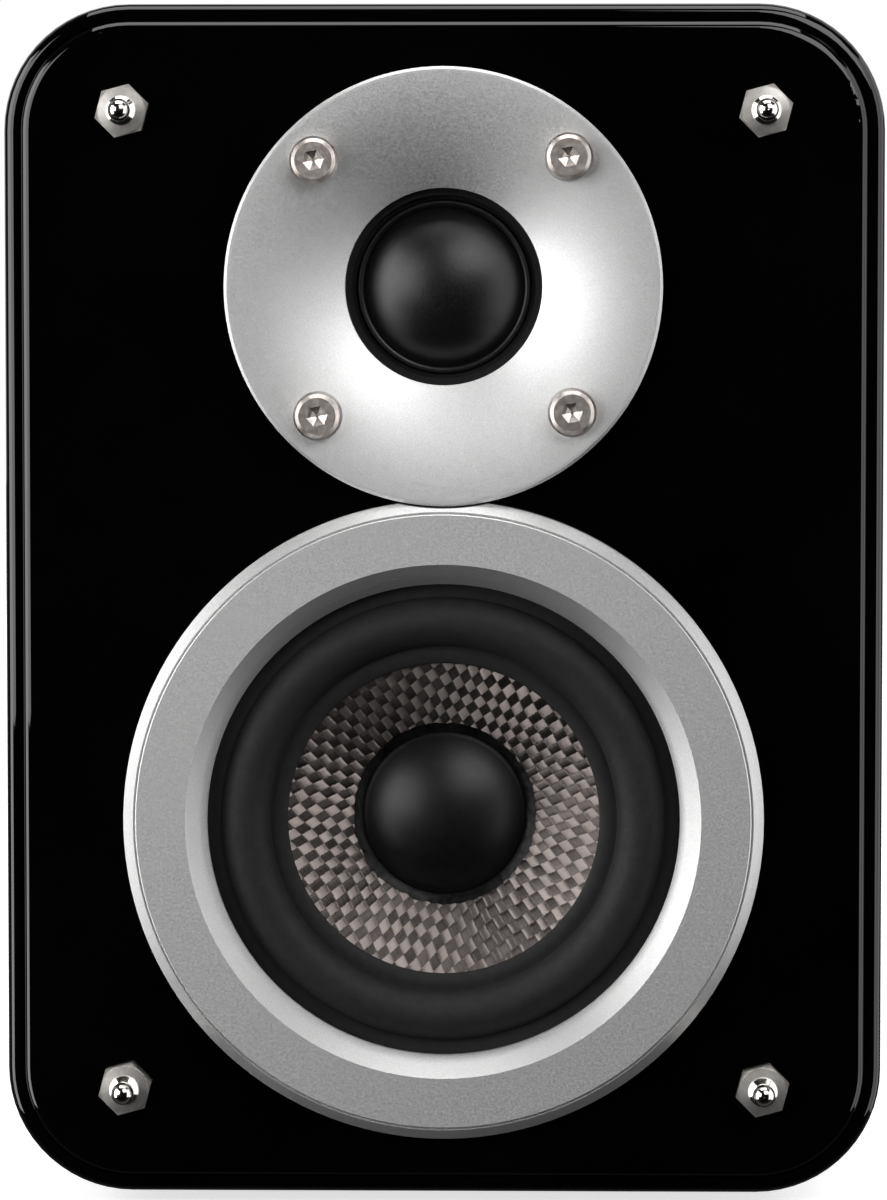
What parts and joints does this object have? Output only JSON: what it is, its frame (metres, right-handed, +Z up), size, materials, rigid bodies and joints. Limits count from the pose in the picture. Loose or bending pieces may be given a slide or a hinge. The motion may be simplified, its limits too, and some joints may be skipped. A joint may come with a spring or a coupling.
{
  "type": "bookshelf speaker",
  "caption": "Compact two-way bookshelf speaker with rounded gloss cabinet, metal-trimmed woven-cone woofer, dome tweeter, grille ball studs, rear port and binding posts.",
  "frame": {"origin": "middle of the object's footprint box, on the surface that its feet stand on", "axes": "+Z up, the front faces -Y, +X to the right of a viewer who faces the front"},
  "size_m": [0.14, 0.1732, 0.192],
  "materials": {
    "black_lacquer": "high gloss lacquer",
    "board_wood": "raw fibreboard",
    "foam": "open-cell foam",
    "rubber": "matt moulded rubber",
    "chrome": "polished chrome plate",
    "satin_aluminium": "blasted, clear anodised",
    "steel": "zinc-plated steel",
    "black_plastic": "fine moulded texture",
    "basket_paint": "black stove enamel",
    "ferrite": "ground ferrite",
    "carbon_weave": "woven carbon, clear resin",
    "cloth": "coated dome cloth",
    "spider_cloth": "resin-dipped woven cloth",
    "copper": "enamelled copper winding",
    "kapton": "amber film",
    "brass_plate": "gold-plated brass",
    "red_plastic": "moulded red",
    "circuit_board": "solder mask",
    "film_capacitor": "polyester wrap",
    "ceramic": "ceramic",
    "wire": "insulated wire",
    "tinsel": "braided tinsel wire"
  },
  "bodies": {
    "cabinet": {"cabinet_shell": "black_lacquer", "front_baffle": "black_lacquer", "rear_panel": "black_plastic", "cabinet_brace": "board_wood", "damping_foam": "foam", "rubber_feet": "rubber", "grille_studs": "chrome", "port_tube": "black_plastic", "terminal_cup": "black_plastic", "terminal_cup_gasket": "rubber", "terminal_cup_screws": "steel", "red_post": "brass_plate", "black_post": "brass_plate", "red_post_collar": "red_plastic", "black_post_collar": "black_plastic", "post_nuts": "steel", "solder_tags": "brass_plate", "crossover_board": "circuit_board", "board_standoffs": "brass_plate", "board_screws": "steel", "woofer_inductor_winding": "copper", "tweeter_inductor_winding": "copper", "inductor_bobbins": "black_plastic", "capacitors": "film_capacitor", "power_resistor": "ceramic", "input_leads": "wire", "woofer_leads": "wire", "tweeter_leads": "wire", "woofer_trim_ring": "satin_aluminium", "woofer_gasket": "rubber", "woofer_basket": "basket_paint", "woofer_screws": "steel", "woofer_surround": "rubber", "woofer_spider": "spider_cloth", "woofer_top_plate": "steel", "woofer_magnet": "ferrite", "woofer_yoke": "steel", "woofer_terminal_strip": "circuit_board", "woofer_tinsel_leads": "tinsel", "tweeter_faceplate": "satin_aluminium", "tweeter_gasket": "rubber", "tweeter_screws": "chrome", "tweeter_clamp_ring": "black_plastic", "tweeter_surround": "cloth", "tweeter_top_plate": "steel", "tweeter_magnet": "ferrite", "tweeter_yoke": "steel", "tweeter_rear_cup": "black_plastic", "tweeter_terminals": "circuit_board"},
    "woofer_motion": {"woofer_cone": "carbon_weave", "woofer_dust_cap": "rubber", "woofer_coil_former": "kapton", "woofer_voice_coil": "copper"},
    "tweeter_motion": {"tweeter_dome": "cloth", "tweeter_voice_coil": "copper"},
    "red_clamp": {"red_clamp_washer": "brass_plate"},
    "black_clamp": {"black_clamp_washer": "brass_plate"},
    "red_thumb_knob": {"red_knob": "red_plastic"},
    "black_thumb_knob": {"black_knob": "black_plastic"}
  },
  "joints": [
    {"name": "woofer_excursion", "type": "slide", "parent": "cabinet", "child": "woofer_motion", "axis": [0, -1, 0], "range_m": [-0.003, 0.003], "stiffness_N_per_m": 1200, "deforming": ["woofer_surround", "woofer_spider", "woofer_tinsel_leads"]},
    {"name": "tweeter_excursion", "type": "slide", "parent": "cabinet", "child": "tweeter_motion", "axis": [0, -1, 0], "range_m": [-0.0004, 0.0004], "stiffness_N_per_m": 1500, "deforming": ["tweeter_surround"]},
    {"name": "red_knob_turn", "type": "hinge", "parent": "red_clamp", "child": "red_thumb_knob", "pos_m": [0.0095, 0.07845, 0.05], "axis": [0, 1, 0], "range_deg": [0, 1440]},
    {"name": "red_knob_travel", "type": "slide", "parent": "cabinet", "child": "red_clamp", "axis": [0, 1, 0], "range_m": [0, 0.004]},
    {"name": "black_knob_turn", "type": "hinge", "parent": "black_clamp", "child": "black_thumb_knob", "pos_m": [-0.0095, 0.07845, 0.05], "axis": [0, 1, 0], "range_deg": [0, 1440]},
    {"name": "black_knob_travel", "type": "slide", "parent": "cabinet", "child": "black_clamp", "axis": [0, 1, 0], "range_m": [0, 0.004]}
  ],
  "couplings": [
    {"joint": "red_knob_turn", "follows": "red_knob_travel", "rad_per_m": 6283.2},
    {"joint": "black_knob_turn", "follows": "black_knob_travel", "rad_per_m": 6283.2}
  ]
}
